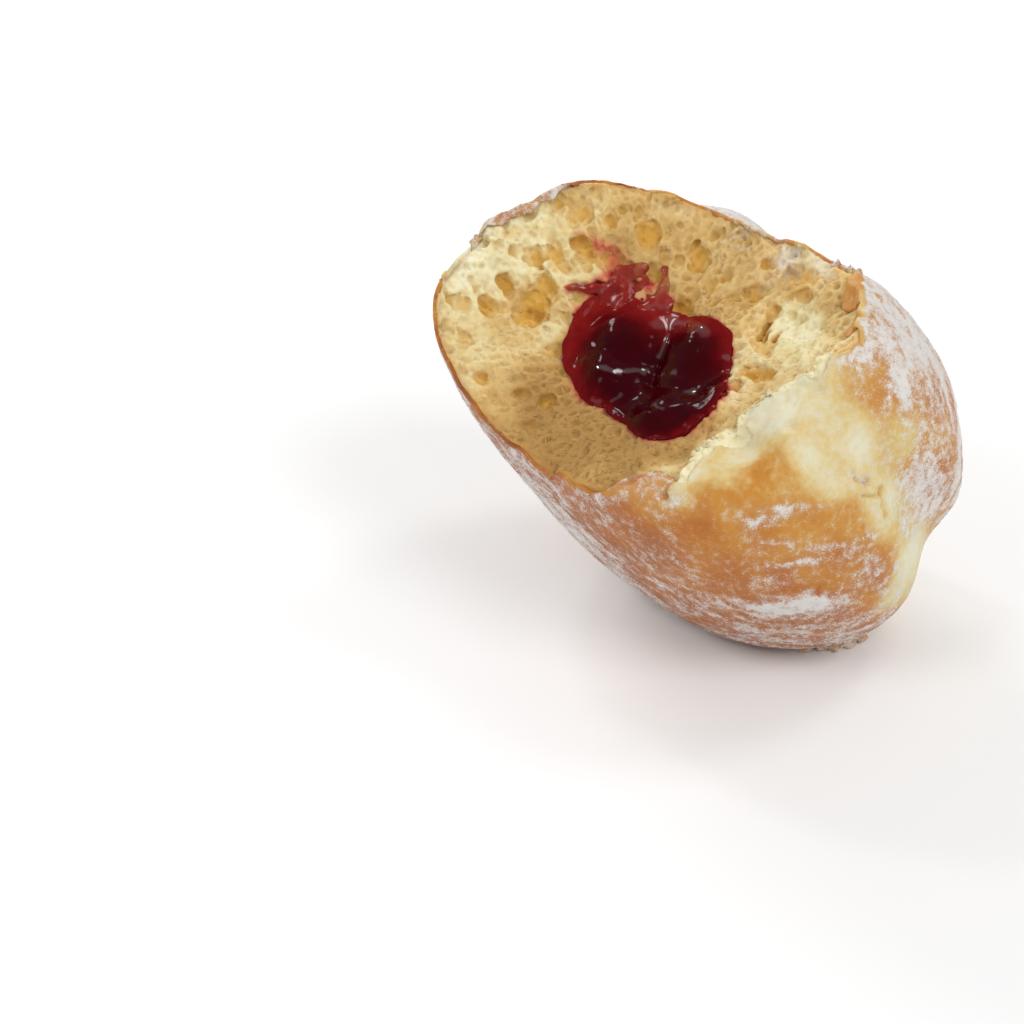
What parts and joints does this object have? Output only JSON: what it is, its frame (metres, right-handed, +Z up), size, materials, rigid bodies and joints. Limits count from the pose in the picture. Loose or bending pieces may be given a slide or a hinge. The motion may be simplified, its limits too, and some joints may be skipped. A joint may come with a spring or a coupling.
{
  "type": "jelly-filled doughnut",
  "caption": "Round yeast doughnut dusted with powdered sugar, torn open to show its pale crumb and dark red jelly filling.",
  "frame": {"origin": "bottom centre of the bounding box, on the surface that the doughnut rests on", "axes": "+Z up; +X along the longest extent, away from the torn end; -Y towards the side that the tear faces"},
  "size_m": [0.0812, 0.0738, 0.0646],
  "materials": {
    "dough": "fried crust, matte, dusted with sugar",
    "jelly": "wet gloss"
  },
  "bodies": {
    "root": {"dough": "dough", "jelly": "jelly"}
  },
  "joints": []
}
